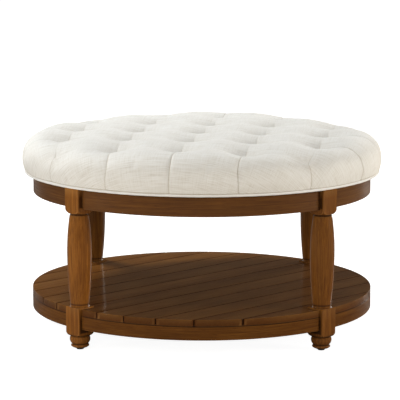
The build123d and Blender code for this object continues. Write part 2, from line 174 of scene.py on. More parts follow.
def newGroup(name, inputs, outputs):
    # inputs are labels with their kinds, and every output is a number
    group = bpy.data.node_groups.new(name, "ShaderNodeTree")
    for label, kind in inputs.items():
        group.interface.new_socket(label, in_out="INPUT", socket_type="NodeSocket" + kind)
    for label in outputs:
        group.interface.new_socket(label, in_out="OUTPUT", socket_type="NodeSocketFloat")
    return group, group.nodes.new("NodeGroupInput").outputs


def putOut(group, values):
    target = group.nodes.new("NodeGroupOutput")
    for label, value in values.items():
        group.links.new(value, target.inputs[label])
    return group


def placeGroup(tree, group, values):
    return addNode(tree, "Group", values, node_tree=group).outputs


def attribute(tree, name, output="Fac"):
    return addNode(tree, "Attribute", attribute_name=name).outputs[output]


def doMath(tree, operation, one, other):
    return addNode(tree, "Math", {0: one, 1: other}, operation=operation).outputs[0]


def multiply(tree, one, other):
    return doMath(tree, "MULTIPLY", one, other)


def remap(tree, value, before, after=(0, 1)):
    # from one range to another, and no further
    return addNode(tree, "MapRange", enumerate((value, *before, *after)), clamp=True).outputs[0]


def stretch(tree, vector, scale, shift=(0, 0, 0)):
    return addNode(tree, "Mapping", {"Vector": vector, "Scale": scale, "Location": shift}).outputs["Vector"]


def noise(tree, vector, scale, detail, roughness, shift=(0, 0, 0)):
    place = stretch(tree, vector, scale, shift)
    values = {"Vector": place, "Scale": 1, "Detail": detail, "Roughness": roughness}
    return addNode(tree, "TexNoise", values).outputs["Fac"]


def swayed(tree, vector, source, wave, reach):
    # vector, moved to and fro by a noise of source
    shift = multiply(tree, noise(tree, source, *wave), reach)
    flat = addNode(tree, "CombineXYZ", {"X": shift, "Y": shift}).outputs[0]
    return addNode(tree, "VectorMath", {0: vector, 1: flat}, operation="ADD").outputs[0]


def mixColour(tree, factor, one, other, blend="MIX"):
    values = {0: factor, 6: one, 7: other}
    return addNode(tree, "Mix", values, data_type="RGBA", blend_type=blend).outputs[2]


def mixValue(tree, factor, one, other):
    return addNode(tree, "Mix", {0: factor, 2: one, 3: other}, data_type="FLOAT").outputs[0]


def layTones(tree, tone, palette, layers):
    # one colour of a palette after another over a tone
    for factor, colour in layers:
        tone = mixColour(tree, factor, tone, palette[colour])
    return tone


def addBump(tree, shader, relief, height):
    strength, distance = relief
    bump = addNode(tree, "Bump", {"Strength": strength, "Distance": distance, "Height": height})
    tree.links.new(bump.outputs[0], shader.inputs["Normal"])


def newMaterial(name, surface):
    material = bpy.data.materials.new(name)
    material.use_nodes = True
    tree = material.node_tree
    shader = tree.nodes["Principled BSDF"]
    for key, value in surface.items():
        shader.inputs[key].default_value = value
    return material, tree, shader


# Wood grain and weave, in metres; a noise is its scale, detail and roughness

grainLook = {
    "wander": ((9, 9, 1.6), 2, 0.5),
    "wanderReach": 0.05,
    "ringSpace": (1, 0.45, 0.02),
    "rings": ((170, 170, 170), 2, 0.6),
    "ringRange": (0.36, 0.66),
    "streaks": ((330, 330, 8), 5, 0.7),
    "pores": ((520, 520, 45), 2, 0.5),
    "poreRange": (0.56, 0.70),
    "blotches": ((16, 16, 6), 3, 0.55),
    "streakHeight": 0.5,
}
weaveLook = {
    "wobble": ((60, 60, 60), 2, 0.5),
    "wobbleReach": 0.003,
    "slubsX": ((16, 460, 14), 2, 0.7),
    "slubsY": ((460, 16, 14), 2, 0.7, (3, 5, 7)),
    "slubShares": (0.66, 0.34),
    "slubRange": (0.34, 0.66),
    "shade": ((26, 26, 26), 4, 0.6),
    "threadHeight": 0.4,
}


def makeGrainGroup():
    # grain runs along Z of the vector it is given, with growth rings that wander along the board
    look = grainLook
    inputs = {"Grain Space": "Vector", "Figure": "Float"}
    group, source = newGroup("woodGrain", inputs, ("Figure", "Streaks", "Pores", "Blotches", "Height"))
    place = source["Grain Space"]
    ringPlace = stretch(group, place, look["ringSpace"])
    ringPlace = swayed(group, ringPlace, place, look["wander"], look["wanderReach"])
    figure = remap(group, noise(group, ringPlace, *look["rings"]), look["ringRange"])
    streaks = noise(group, place, *look["streaks"])
    pores = remap(group, noise(group, place, *look["pores"]), look["poreRange"])
    return putOut(group, {
        "Figure": multiply(group, figure, source["Figure"]),
        "Streaks": streaks,
        "Pores": pores,
        "Blotches": noise(group, place, *look["blotches"]),
        "Height": doMath(group, "SUBTRACT", multiply(group, streaks, look["streakHeight"]), pores),
    })


def makeWeaveGroup():
    # plain weave on a flat cloth plane, with slubs along both threads
    look = weaveLook
    inputs = {"Cloth Plane": "Vector", "Threads Per Metre": "Float"}
    group, source = newGroup("plainWeave", inputs, ("Threads", "Slubs", "Shade", "Height"))
    plane = source["Cloth Plane"]
    bent = swayed(group, plane, plane, look["wobble"], look["wobbleReach"])
    parts = addNode(group, "SeparateXYZ", {"Vector": bent}).outputs
    density = multiply(group, source["Threads Per Metre"], math.pi)
    warp, weft = [doMath(group, "SINE", multiply(group, parts[axis], density), 0) for axis in "XY"]
    threads = remap(group, multiply(group, warp, weft), (-1, 1))
    shareX, shareY = look["slubShares"]
    slubsX = multiply(group, noise(group, bent, *look["slubsX"]), shareX)
    slubsY = multiply(group, noise(group, bent, *look["slubsY"]), shareY)
    slubs = remap(group, doMath(group, "ADD", slubsX, slubsY), look["slubRange"])
    return putOut(group, {
        "Threads": threads,
        "Slubs": slubs,
        "Shade": noise(group, plane, *look["shade"]),
        "Height": doMath(group, "ADD", multiply(group, threads, look["threadHeight"]), slubs),
    })


grainGroup = makeGrainGroup()
weaveGroup = makeWeaveGroup()

# Materials; a relief is the strength and distance of a bump

stain = {
    "deep": (0.085, 0.024, 0.0030, 1),
    "middle": (0.225, 0.076, 0.0100, 1),
    "light": (0.310, 0.120, 0.0190, 1),
    "worn": (0.38, 0.18, 0.05, 1),
    # dark colour painted as shade in recesses, seams and joints
    "shadeTone": (0.030, 0.010, 0.003, 1),
    # grey mixed over the colour as a painted sheen
    "paintedSheen": (0.11, 0.085, 0.065, 1),
    "figureShare": 0.45,
    "streakRange": (0.36, 0.66),
    "streakShare": 0.76,
    "poreShare": 0.5,
    "endGrainShare": 0.74,
    "paintedShadeShare": 0.88,
    "rubRange": (0.35, 0.65),
    "rubShares": (0.15, 0.55),
    "glossRange": (0.3, 0.7),
    "roughness": (0.36, 0.5),
    "relief": (0.25, 0.0004),
    "surface": {"Coat Roughness": 0.11, "Specular IOR Level": 0.22},
}
linen = {
    "thread": (0.86, 0.845, 0.80, 1),
    "shade": (0.76, 0.73, 0.67, 1),
    "slub": (0.93, 0.925, 0.90, 1),
    "gap": (0.66, 0.62, 0.55, 1),
    # painted shade colour for folds, pleats, dimples and the seam over the welt
    "fold": (0.40, 0.31, 0.21, 1),
    "threadsPerMetre": 900.0,
    "threadShare": 0.35,
    "slubMiddle": 0.5,
    "gapShare": 0.75,
    "slubShare": 0.85,
    "shadeRange": (0.3, 0.7),
    "shadeShare": 0.2,
    "foldShare": 0.6,
    "relief": (0.5, 0.0004),
    "surface": {"Roughness": 0.92, "Specular IOR Level": 0.2, "Sheen Weight": 0.12, "Sheen Roughness": 0.5},
}
grit = {"detail": 4, "roughness": 0.6, "range": (0.3, 0.7), "relief": (0.2, 0.0003)}
plainFinishes = {
    # name, two tones, scale of the grit and surface
    "raw_wood": ("rawWood", (0.52, 0.36, 0.19, 1), (0.62, 0.45, 0.26, 1), (260, 260, 9), {"Roughness": 0.7}),
    "plywood": ("plywood", (0.55, 0.40, 0.23, 1), (0.66, 0.50, 0.31, 1), (14, 220, 90), {"Roughness": 0.75}),
    "black_cloth": ("dustCloth", (0.012, 0.012, 0.013, 1), (0.03, 0.03, 0.03, 1), (900, 900, 900),
                    {"Roughness": 0.95}),
    "black_nylon": ("glideNylon", (0.010, 0.010, 0.011, 1), (0.022, 0.022, 0.022, 1), (700, 700, 700),
                    {"Roughness": 0.38}),
    "zinc_steel": ("zincSteel", (0.55, 0.55, 0.53, 1), (0.68, 0.67, 0.62, 1), (400, 400, 400),
                   {"Roughness": 0.32, "Metallic": 1.0}),
    "foam": ("foam", (0.80, 0.74, 0.52, 1), (0.88, 0.83, 0.63, 1), (800, 800, 800), {"Roughness": 1.0}),
    "twine": ("twine", (0.62, 0.55, 0.40, 1), (0.75, 0.68, 0.52, 1), (900, 900, 200), {"Roughness": 0.9}),
}


def makeStainedWood(name, figure, brightness, paintedSheen, coat):
    material, tree, shader = newMaterial(name, {**stain["surface"], "Coat Weight": coat})
    grain = placeGroup(tree, grainGroup, {
        "Grain Space": attribute(tree, "grainSpace", "Vector"), "Figure": figure})
    rub = remap(tree, grain["Blotches"], stain["rubRange"], stain["rubShares"])
    # painted shade in inner corners, grooves and seams, and in the shelf joints
    shadeMask = multiply(tree, attribute(tree, "paintedShade"), stain["paintedShadeShare"])
    tone = mixColour(tree, grain["Blotches"], stain["middle"], stain["light"])
    tone = layTones(tree, tone, stain, (
        (multiply(tree, grain["Figure"], stain["figureShare"]), "deep"),
        (remap(tree, grain["Streaks"], stain["streakRange"], (0, stain["streakShare"])), "deep"),
        (multiply(tree, grain["Pores"], stain["poreShare"]), "deep"),
        (multiply(tree, attribute(tree, "endGrain"), stain["endGrainShare"]), "deep"),
        (multiply(tree, attribute(tree, "edgeWear"), rub), "worn"),
        (doMath(tree, "MAXIMUM", shadeMask, attribute(tree, "jointShade")), "shadeTone"),
    ))
    # brightness per copy and tone per piece darken the colour, partly as painted shade
    level = multiply(tree, doMath(tree, "ADD", attribute(tree, "toneShift"), 1), brightness)
    grey = addNode(tree, "CombineColor", {"Red": level, "Green": level, "Blue": level})
    tone = mixColour(tree, 1, tone, grey.outputs[0], "MULTIPLY")
    # the grey mixed in here is a painted sheen
    tree.links.new(mixColour(tree, paintedSheen, tone, stain["paintedSheen"]), shader.inputs["Base Color"])
    gloss = remap(tree, grain["Streaks"], stain["glossRange"], stain["roughness"])
    tree.links.new(gloss, shader.inputs["Roughness"])
    addBump(tree, shader, stain["relief"], grain["Height"])
    return material


def makeLinen(name, paintedLightening):
    material, tree, shader = newMaterial(name, linen["surface"])
    weave = placeGroup(tree, weaveGroup, {
        "Cloth Plane": attribute(tree, "clothPlane", "Vector"),
        "Threads Per Metre": linen["threadsPerMetre"],
    })
    middle = linen["slubMiddle"]
    tone = layTones(tree, linen["thread"], linen, (
        (remap(tree, weave["Threads"], (0, 1), (0, linen["threadShare"])), "shade"),
        (remap(tree, weave["Slubs"], (0, middle), (linen["gapShare"], 0)), "gap"),
        (remap(tree, weave["Slubs"], (middle, 1), (0, linen["slubShare"])), "slub"),
        (remap(tree, weave["Shade"], linen["shadeRange"], (0, linen["shadeShare"])), "shade"),
        (multiply(tree, attribute(tree, "foldShade"), linen["foldShare"]), "fold"),
        # the welt's copy is lightened toward the slub colour, as painted light
        (paintedLightening, "slub"),
    ))
    tree.links.new(tone, shader.inputs["Base Color"])
    addBump(tree, shader, linen["relief"], weave["Height"])
    return material


def makePlain(name, colour, other, scale, surface):
    # small parts and hidden ones: two tones over a fine noise, with a matching bump
    material, tree, shader = newMaterial(name, surface)
    place = addNode(tree, "TexCoord").outputs["Object"]
    grains = noise(tree, place, scale, grit["detail"], grit["roughness"])
    tone = mixColour(tree, remap(tree, grains, grit["range"]), colour, other)
    tree.links.new(tone, shader.inputs["Base Color"])
    addBump(tree, shader, grit["relief"], grains)
    return material


# these copies of one stain differ in brightness as painted shade: the apron, rails and boards, in the
# cushion's shade, are darker than the legs
legWood, apronWood, railWood, boardWood = [makeStainedWood(*values) for values in (
    # name, figure, brightness, painted sheen and coat
    ("stainedLegWood", 0.8, 1.34, 0.02, 0.35),
    ("stainedApronWood", 0.8, 0.74, 0.12, 0.3),
    ("stainedRailWood", 0.8, 0.72, 0.0, 0.3),
    ("stainedBoardWood", 0.7, 0.86, 0.0, 0.5),
)]
# the welt's linen is a lighter copy of the cover's, as painted light where the welt catches the light
coverLinen = makeLinen("coverLinen", paintedLightening=0.0)
weltLinen = makeLinen("weltLinen", paintedLightening=0.8)
finishes = {slot: makePlain(*values) for slot, values in plainFinishes.items()}
finishes.update({
    "stained_wood": legWood, "stained_boards": boardWood, "linen": coverLinen, "linen_piping": weltLinen})
for part in frame["record"]["subparts"]:
    node = frame["nodes"][part["node"]]
    node.data.materials.clear()
    node.data.materials.append(finishes[part["material_slot"]])
print("materials made")

# Cushion cover

cushion = {
    "rows": 5,
    "pitch": 156 * mm,
    "half": 312 * mm,
    "turn": math.radians(-9.3),
    # outline from the crown to the foot, and on to the hem: distance from the axis and height, in millimetres
    "outline": [(0, 103), (320, 100.5), (411, 89.5), (442, 72.5), (450, 51), (444, 6.5)],
    "outlineSteps": 160,
    "underside": [(442.6, 5.9), (440.5, 5.3), (438.6, 4.2), (437.6, 2.4), (436, 0.7),
                  (420, 0.25), (400, 0.25)],
    "undersideBlend": 4,
    "cellSteps": 40,
    "lineCrowding": 0.62,
    "rimSteps": 58,
    "startSink": 4.0 * mm,
    # cloth
    "clothSteps": 16,
    "clothRows": 20,
    "clothFrames": 20,
    "clothCap": 9 * mm,
    "clothSettings": {
        "quality": 6,
        "use_pressure": True,
        "uniform_pressure_force": 120.0,
        "vertex_group_mass": "held",
        "tension_stiffness": 15.0,
        "compression_stiffness": 15.0,
        "bending_stiffness": 0.5,
    },
    "tuftHold": 7 * mm,
    "pleatHold": 0.3,
    "pleatHoldWidth": 6 * mm,
    "leastHold": 0.02,
    # pillows and tufts
    "domeDepth": 2.0 * mm,
    "domeFade": 0.6,
    "rimCrest": 60 * mm,
    "creaseDepth": 4.0 * mm,
    "creaseWidth": 8 * mm,
    "creaseRun": 30 * mm,
    "creasePower": 1.5,
    "rimCreaseShare": 0.6,
    "dimpleDepth": 27.0 * mm,
    "dimpleWidth": 40 * mm,
    "dimplePower": 1.35,
    "cornerKeep": 0.3,
    "cornerStart": 385 * mm,
    "cornerRun": 56 * mm,
    "cornerPower": 3,
    "keepStart": 20 * mm,
    "keepRun": 60 * mm,
    "backKeep": 0.35,
    "backStart": 250 * mm,
    "backRun": 60 * mm,
    "backPower": 3,
    # pleats and folds
    "sideRun": 80 * mm,
    "footRun": 100 * mm,
    "pleatDepth": 2.2 * mm,
    "pleatFootDepth": 1.2 * mm,
    "pleatWidth": 9 * mm,
    "pleatFold": 0.8,
    "foldDepth": 2.0 * mm,
    "foldWidth": 1.2 * mm,
    "foldReach": 42 * mm,
    "foldLip": 0.6 * mm,
    "lipReach": 5 * mm,
    "lipRise": 1 * mm,
    "crossFold": 0.5,
    "lineWidth": 0.96 * mm,
    "lensShade": 0.2,
    "seamShade": 0.9,
    # clearance over the foam disc
    "foamChamfer": 30 * mm,
    "foamGap": 2.5 * mm,
    "foamBlend": 9 * mm,
}
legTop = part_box("leg_front_left")[1].z
splineShares = np.array([[0, 2, 0, 0], [-1, 0, 1, 0], [2, -5, 4, -1], [-1, 3, -3, 1]]) / 2


def tangentArc(start, direction, end, count):
    # points of the arc that leaves start along direction and ends at end, start left out
    start = np.array(start, float)
    end = np.array(end, float)
    normal = np.array([direction[1], -direction[0]])
    chord = end - start
    bend = 2 * chord.dot(normal) / chord.dot(chord)
    centre = start + normal / bend
    first = math.atan2(*(start - centre)[::-1])
    sweep = math.atan2(*(end - centre)[::-1]) - first
    sweep = (sweep + math.pi) % fullTurn - math.pi
    points = []
    for step in range(1, count + 1):
        angle = first + sweep * step / count
        points.append(centre + np.array([math.cos(angle), math.sin(angle)]) / abs(bend))
    last = first + sweep
    turn = math.copysign(1, sweep)
    return points, turn * np.array([-math.sin(last), math.cos(last)])


def cushionOutline():
    # finely spaced points from the crown to the foot: distance from the axis and height above the legs
    corners = [np.array(point, float) * mm for point in cushion["outline"]]
    points = [corners[0]]
    direction = (1.0, 0.0)
    for index, end in enumerate(corners[1:]):
        if index == len(corners) - 2:
            direction = (0.0, -1.0)
        arc, direction = tangentArc(points[-1], direction, end, cushion["outlineSteps"])
        points += arc
    return np.array(points)


def runLengths(outline):
    steps = np.diff(outline, axis=0)
    return np.concatenate([[0], np.cumsum(np.hypot(steps[:, 0], steps[:, 1]))])


def toLine(values):
    # distance to the nearest line of tufts, signed
    return (values + cushion["half"] + cushion["pitch"] / 2) % cushion["pitch"] - cushion["pitch"] / 2


def dome(distance):
    return cushion["domeDepth"] * (1 - ramp(np.abs(distance), 0, cushion["pitch"] / 2)) ** 2


def crease(across, along):
    # V-shaped fold beside a tuft, fading along its line
    run = bell(along, cushion["creaseRun"], cushion["creasePower"])
    return cushion["creaseDepth"] * run * bell(across, cushion["creaseWidth"], 1)


def dimple(one, other):
    return cushion["dimpleDepth"] * bell(np.hypot(one, other), cushion["dimpleWidth"], cushion["dimplePower"])


def fold(distance, strength):
    # narrow groove with a lip on one side of it
    groove = cushion["foldDepth"] * bell(distance, cushion["foldWidth"])
    lip = cushion["foldLip"] * bell(distance, cushion["lipReach"], 1) * np.tanh(distance / cushion["lipRise"])
    return strength * (groove - lip)


def thinLine(distance):
    return bell(distance, cushion["lineWidth"])


def edgeKeep(reach):
    # tufts near the shoulder are pulled in less
    return 1 - (1 - cushion["cornerKeep"]) * ramp(reach, cushion["cornerStart"], cushion["cornerRun"]) ** 2


def backEase(level):
    # the furthest row of tufts is pulled in less
    return 1 - (1 - cushion["backKeep"]) * ramp(level, cushion["backStart"], cushion["backRun"])


def overFoam(point, depth):
    # no fold goes down to the foam, which is a disc with a chamfered top edge
    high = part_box("foam_pad")[1]
    out = point[..., 0] - high.x
    up = point[..., 1] + legTop - high.z
    room = np.maximum(np.maximum(out, up), (out + up + cushion["foamChamfer"]) / math.sqrt(2))
    return softMin(depth, room - cushion["foamGap"], cushion["foamBlend"])


def fieldSteps(cellSteps, crowding):
    share = np.arange((cushion["rows"] - 1) * cellSteps + 1) / cellSteps
    return (share - crowding * np.sin(fullTurn * share) / fullTurn) * cushion["pitch"] - cushion["half"]


def coverPoints(outline, across, rowCount, sewn):
    # a square field of tufts, then rows from its edge over the shoulder to the foot
    run = runLengths(outline)
    tangents = np.gradient(outline, run, axis=0)
    tangents /= np.linalg.norm(tangents, axis=1)[:, None]
    normals = np.stack([-tangents[:, 1], tangents[:, 0]], 1)
    widest = int(np.argmax(outline[:, 0]))
    half = cushion["half"]
    crossFold = cushion["crossFold"]
    lensShade = cushion["lensShade"]

    def onOutline(distance):
        return [np.stack([np.interp(distance, run, line[:, axis]) for axis in (0, 1)], -1)
                for line in (outline, normals)]

    def sunk(distance, depth):
        point, normal = onOutline(distance)
        return point - normal * overFoam(point, depth)[..., None]

    innerX, innerY = np.meshgrid(across, across, indexing="ij")
    reach = np.hypot(innerX, innerY)
    angle = np.arctan2(innerY, innerX)
    lineX, lineY = toLine(innerX), toLine(innerY)
    tuft = np.hypot(lineX, lineY)
    near = bell(tuft, cushion["foldReach"])
    depth = dome(lineX) + dome(lineY) + dimple(lineX, lineY)
    if sewn:
        depth += crease(lineX, lineY) + crease(lineY, lineX)
        depth += fold(lineX, near) + fold(lineY, crossFold * near)
    depth = depth * edgeKeep(reach) * backEase(innerY) + cushion["startSink"]
    distance = np.interp(reach, outline[:widest, 0], run[:widest])
    place = sunk(distance, depth)
    lines = np.maximum(thinLine(lineX), crossFold * thinLine(lineY))
    field = {
        "points": aroundAxis(place[..., 0], angle, place[..., 1]),
        "plane": aroundAxis(distance, angle, 0),
        "shade": near * backEase(innerY) ** cushion["backPower"] * np.maximum(lines, lensShade),
        "held": bell(tuft, cushion["tuftHold"]),
    }

    along = np.tile(across[:-1], 4)
    quarter = np.repeat(np.arange(4), len(across) - 1) * math.pi / 2
    startReach = np.hypot(half, along)
    startRun = np.interp(startReach, outline[:widest, 0], run[:widest])
    startKeep = edgeKeep(startReach)
    rimLine = toLine(along)
    rimReach = outline[widest, 0]
    cornerTurn = (math.pi / 4 - math.asin(half / rimReach)) * (along / half) ** cushion["cornerPower"]
    row = np.arange(1, rowCount + 1)[:, None]
    distance = startRun + (run[-1] - startRun) * row / rowCount
    reach = onOutline(distance)[0][..., 0]
    out = distance - startRun
    tuft = np.hypot(rimLine, out)
    near = bell(tuft, cushion["foldReach"])
    lean = ramp(reach, startReach, rimReach - startReach)
    angle = np.arcsin(np.clip(along / reach, -1, 1)) + lean * cornerTurn + quarter
    toSide = ramp(out, 0, cushion["sideRun"])
    toFoot = ramp(out, cushion["sideRun"], cushion["footRun"])
    pleat = cushion["pleatDepth"] + (cushion["pleatFootDepth"] - cushion["pleatDepth"]) * toFoot
    depth = dome(rimLine) * (1 - cushion["domeFade"] * toSide) + dimple(rimLine, out)
    depth += pleat * toSide * bell(rimLine, cushion["pleatWidth"], 1)
    depth += cushion["domeDepth"] * (1 - ramp(out, 0, cushion["rimCrest"])) ** 2
    if sewn:
        depth += crease(rimLine, out * cushion["rimCreaseShare"]) * (1 - toSide) + crease(out, rimLine)
        depth += fold(rimLine, cushion["pleatFold"]) + fold(out, crossFold * near)
    depth *= startKeep + (1 - startKeep) * ramp(out, cushion["keepStart"], cushion["keepRun"])
    ease = backEase(reach * np.sin(angle))
    depth *= ease + (1 - ease) * toSide
    place = sunk(distance, depth + cushion["startSink"] * (1 - row / rowCount))
    ease = ease ** cushion["backPower"]
    shade = near * np.maximum(crossFold * thinLine(out), lensShade)
    held = cushion["pleatHold"] * toSide * bell(rimLine, cushion["pleatHoldWidth"])
    held = np.maximum(bell(tuft, cushion["tuftHold"]), held)
    held[-1] = 1
    return field, {
        "points": aroundAxis(place[..., 0], angle, place[..., 1]),
        "plane": aroundAxis(distance, angle, 0),
        "shade": np.maximum(cushion["pleatFold"] * thinLine(rimLine), shade) * (ease + (1 - ease) * toSide),
        "held": held,
    }


def coverLoop(count):
    # the field's own points, and the closed loop round its edge
    grid = np.arange((count + 1) ** 2).reshape(count + 1, count + 1)
    order = np.arange(count)
    sides = [grid[count, order], grid[count - order, count], grid[0, count - order], grid[order, 0]]
    return grid, np.concatenate(sides)


def coverFaces(count, rowCount):
    grid, loop = coverLoop(count)
    field = np.stack([grid[:-1, :-1], grid[1:, :-1], grid[1:, 1:], grid[:-1, 1:]], -1)
    rings = np.vstack([loop, grid.size + np.arange(4 * count * rowCount).reshape(rowCount, -1)])
    inner, outer = rings[:-1], rings[1:]
    sides = np.stack([inner, outer, np.roll(outer, -1, axis=1), np.roll(inner, -1, axis=1)], -1)
    return np.concatenate([field.reshape(-1, 4), sides.reshape(-1, 4)]).tolist()


def joined(key, *parts):
    # one value of several parts of the cover, in one row
    return np.concatenate([part[key].reshape(-1, *part[key].shape[2:]) for part in parts])


def smoothWeights(places, count):
    # matrix that takes values at 0 to count to the given places, smooth across every point
    base = np.clip(np.floor(places).astype(int), 0, count - 1)
    shares = (places - base)[:, None] ** np.arange(4) @ splineShares
    weights = np.zeros((len(places), count + 1))
    rows = np.arange(len(places))
    for column in range(4):
        np.add.at(weights, (rows, np.clip(base + column - 1, 0, count)), shares[:, column])
    return weights


def swellCover(outline):
    # cloth under pressure, held at the tufts, the pleats and the foot: how far each point moves
    across = fieldSteps(cushion["clothSteps"], 0)
    count = len(across) - 1
    rowCount = cushion["clothRows"]
    field, shoulder = coverPoints(outline, across, rowCount, False)
    start = joined("points", field, shoulder)
    mesh = newMesh("coverCloth", start, coverFaces(count, rowCount))
    piece = addObject("coverCloth", mesh)
    group = piece.vertex_groups.new(name="held")
    for index, weight in enumerate(joined("held", field, shoulder)):
        if weight > cushion["leastHold"]:
            group.add([index], float(min(weight, 1)), "REPLACE")
    cloth = piece.modifiers.new("cloth", "CLOTH")
    for key, value in cushion["clothSettings"].items():
        setattr(cloth.settings, key, value)
    cloth.settings.effector_weights.gravity = 0
    cloth.collision_settings.use_collision = False
    cloth.point_cache.frame_start = 1
    cloth.point_cache.frame_end = cushion["clothFrames"]
    for step in range(1, cushion["clothFrames"] + 1):
        scene.frame_set(step)
    swollen = piece.evaluated_get(bpy.context.evaluated_depsgraph_get())
    moved = np.zeros(len(start) * 3)
    swollen.data.vertices.foreach_get("co", moved)
    move = moved.reshape(-1, 3) - start
    bpy.data.objects.remove(piece)
    bpy.data.meshes.remove(mesh)
    scene.frame_set(1)
    size = np.linalg.norm(move, axis=1)
    print("cloth moved", np.round(np.percentile(size, [5, 50, 95, 100]) / mm, 2).tolist(), "mm")
    cap = cushion["clothCap"]
    move *= (cap * np.tanh(size / cap) / np.maximum(size, 1e-9))[:, None]
    grid, loop = coverLoop(count)
    rows = np.concatenate([move[loop], move[grid.size:]]).reshape(rowCount + 1, 4, count, 3)
    rows = np.concatenate([rows, np.roll(rows, -1, axis=1)[:, :, :1]], axis=2)
    return move[grid], rows


def buildCushion():
    outline = cushionOutline()
    across = fieldSteps(cushion["cellSteps"], cushion["lineCrowding"])
    count = len(across) - 1
    rowCount = cushion["rimSteps"]
    field, shoulder = coverPoints(outline, across, rowCount, True)
    inner, rows = swellCover(outline)
    clothCount = len(inner) - 1
    byLine = smoothWeights((across + cushion["half"]) / (2 * cushion["half"]) * clothCount, clothCount)
    byRow = smoothWeights(np.arange(1, rowCount + 1) / rowCount * cushion["clothRows"], cushion["clothRows"])
    field["points"] += np.einsum("ai,bj,ijk->abk", byLine, byLine, inner, optimize=True)
    swell = np.einsum("ai,bj,iqjk->aqbk", byRow, byLine[:-1], rows, optimize=True)
    shoulder["points"] += swell.reshape(rowCount, 4 * count, 3)
    shoulder["shade"][-1] = cushion["seamShade"]
    footX, footY = shoulder["points"][-1][:, :2].T
    footReach = np.hypot(footX, footY)
    footAngle = np.arctan2(footY, footX)
    hem = np.array(cushion["underside"]) * mm
    blend = np.maximum(0, 1 - np.arange(1, len(hem) + 1)[:, None] / cushion["undersideBlend"])
    under = {
        "points": aroundAxis(hem[:, :1] + blend * (footReach - outline[-1, 0]), footAngle, hem[:, 1:]),
        "plane": aroundAxis(runLengths(np.vstack([outline, hem]))[-len(hem):, None], footAngle, 0),
        "shade": np.ones((len(hem), len(footReach))),
    }
    verts, plane, shade = [joined(key, field, shoulder, under) for key in ("points", "plane", "shade")]
    cos, sin = math.cos(cushion["turn"]), math.sin(cushion["turn"])
    turned = verts @ np.array([[cos, sin, 0], [-sin, cos, 0], [0, 0, 1]]) + (0, 0, legTop)
    cover = newPiece("tufted_cover", turned, coverFaces(count, rowCount + len(hem)), coverLinen)
    paint(cover, "clothPlane", plane)
    paint(cover, "foldShade", shade)
    smooth = cover.modifiers.new("smooth", "SUBSURF")
    smooth.levels = 1
    smooth.render_levels = 1
    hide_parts("cushion_cover")
    return cover


cover = buildCushion()
print("cushion built,", len(cover.data.vertices), "points")

# Welt

welt = {
    "radius": 3.1 * mm,
    "columns": 20,
    "steps": 900,
    "wobble": 0.0625 * mm,
    "waves": ((17, 0, 1.0), (41, 1, 0.6)),  # count, start and share
    "wraps": 90,
    "wrapDepth": 0.03,
}


def buildWelt():
    low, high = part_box("welt_cord")
    major = high.x - welt["radius"]
    angle = fullTurn * np.arange(welt["steps"])[:, None] / welt["steps"]
    around = fullTurn * np.arange(welt["columns"]) / welt["columns"]
    sway = sum(share * np.sin(angle * count + start) for count, start, share in welt["waves"])
    centre = (low.z + high.z) / 2 + welt["wobble"] * sway
    radius = welt["radius"] * (1 + welt["wrapDepth"] * np.sin(angle * welt["wraps"] + around))
    verts = aroundAxis(major + radius * np.cos(around), angle, centre + radius * np.sin(around))
    faces = tubeFaces(welt["steps"], welt["columns"], "joined", True)
    piece = newPiece("covered_welt", verts, faces, weltLinen)
    across = around * welt["radius"]
    paint(piece, "clothPlane", pointsOf(major * angle + across, across, 0))
    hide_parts("welt_cord")


buildWelt()
print("welt built")

# Turned legs

leg = {
    "halfSquare": 24 * mm,
    "cornerRound": 1.6 * mm,
    "arris": 0.9 * mm,
    "round": 144,
    "arrisTurns": (0.3, 0.8, 1.3, 1.8),
    # outline from the floor up, as radius and height in millimetres; an arc has three points and its steps
    "seat": [(1.4, 3.8), (8.6, 3.8)],
    "footArcs": [
        ((9.6, 3.8), (20.1, 7.5), (21.9, 9.15), 8),
        ((21.9, 9.25), (21.1, 12.3), (19.3, 14.5), 6),
        ((19.3, 14.7), (24.7, 24.75), (21.6, 35), 18),
    ],
    "lowerBlock": (44, 105),
    "lowerLevels": (46, 74.5, 103.4),
    "lowerTop": ((1.1, 0.12), (0.6, 0.45), (0.2, 0.95), (0, 1.7), (0, 2.6)),  # under the top, and drawn in
    "collarSeat": [(25.2, 105)],
    "collar": ((24, 105.15), (22.8, 107.1), (22.3, 111), 8),
    "barrel": (22.3, 29.5, 22.7, 111, 238, 327),  # three radii, and their heights
    "barrelSteps": 30,
    "groove": [(22.2, 327.35), (21.1, 327.7), (21.0, 328.75), (21.0, 330.2)],
    "upperBlock": (346, 394),
    "upperLevels": (348, 370, 393),
    "upperTop": ((5, 0.6), (-8, 0.8)),  # past the corner, and drawn in
    "pastCorner": 5,
    # a shoulder's arc: start, the point its shares are measured from, steps
    "lowerShoulder": ((21.6, 35.3), (21.6, 35), 14),
    "upperShoulder": ((21.4, 330.5), (21.0, 330.5), 20),
    "shoulderShares": (0.78, 0.38),
    # painted shade in the turned grooves and crevices: heights and reaches in millimetres; and on the block
    # sides beside the rails
    "shadeLevels": ((35.3, 2.6), (14.5, 1.9), (111.0, 1.3), (328.8, 2.2), (3.8, 1.5)),
    "blockEdge": 1.8 * mm,
    "sideDepth": 0.3 * mm,
    "sideStart": 18.5 * mm,
    "sideRun": 4 * mm,
    # tone per leg; the darker rear and front-right legs are painted shade
    "tones": (-0.28, -0.27, -0.56, 0.01),
    "grainShift": (0.31, 0.17, 0.9),
}


